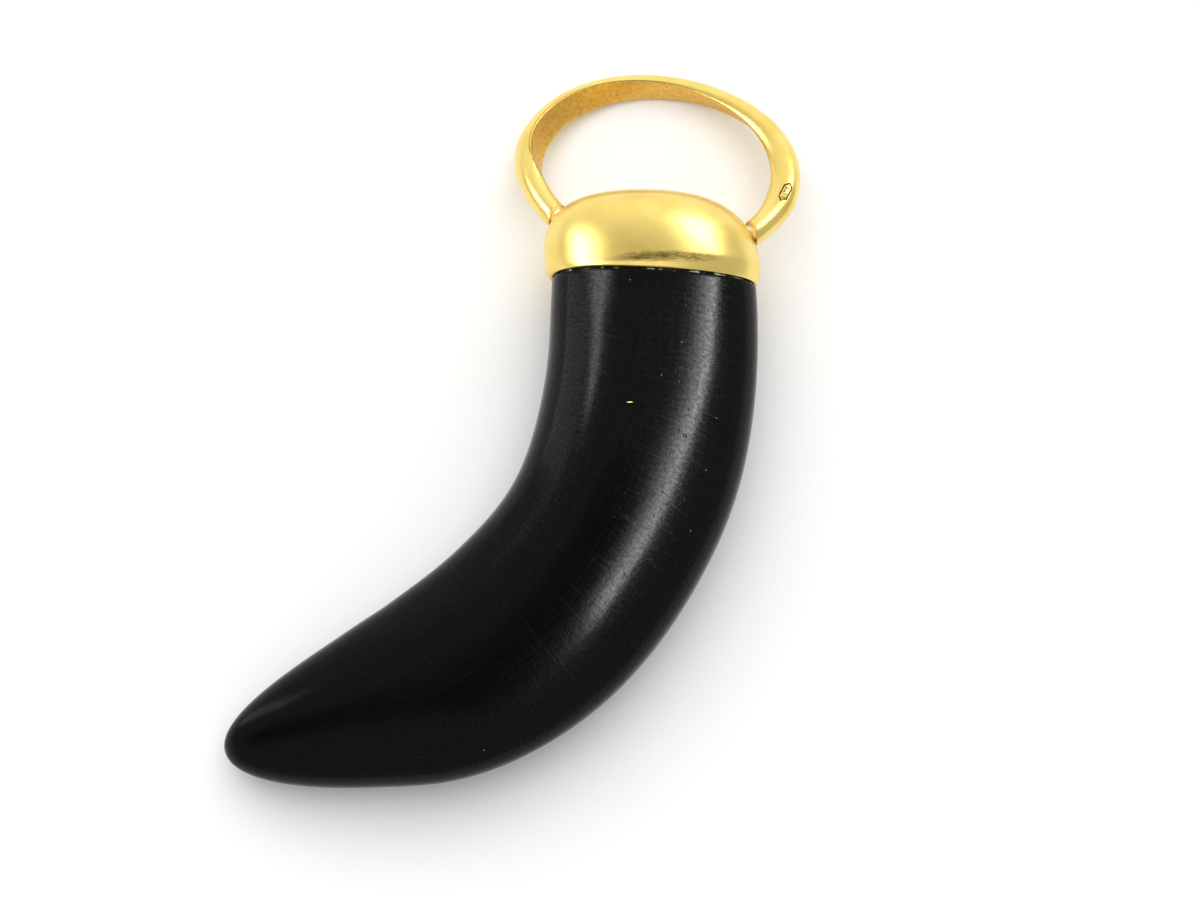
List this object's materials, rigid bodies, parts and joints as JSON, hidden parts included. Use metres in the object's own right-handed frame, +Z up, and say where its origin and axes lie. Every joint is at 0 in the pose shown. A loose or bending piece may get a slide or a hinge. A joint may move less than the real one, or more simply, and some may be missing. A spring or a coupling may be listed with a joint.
{
  "type": "horn pendant with gold cap and bail",
  "caption": "Curved black horn pendant with a hollow domed gold cap and a large oval gold bail hinged on the cap, lying flat.",
  "frame": {"origin": "centre of the bounding box, on the surface that the pendant lies on", "axes": "+Z up from the surface, +Y along the horn's thick end towards the bail, +X across the cap towards the inner side of the bend's top"},
  "size_m": [0.0646, 0.0831, 0.016],
  "materials": {
    "black_horn": "black, polished, with a soft gloss",
    "cap_gold": "yellow gold, satin with fine scratches",
    "bail_gold": "yellow gold, satin outside and duller inside"
  },
  "bodies": {
    "pendant": {"horn": "black_horn", "cap": "cap_gold"},
    "bail": {"bail": "bail_gold"}
  },
  "joints": [
    {"name": "bail_swing", "type": "hinge", "parent": "pendant", "child": "bail", "pos_m": [0.01508, 0.02194, 0.00814], "axis": [0.9936, -0.1028, 0.0465], "range_deg": [-10, 50]}
  ]
}
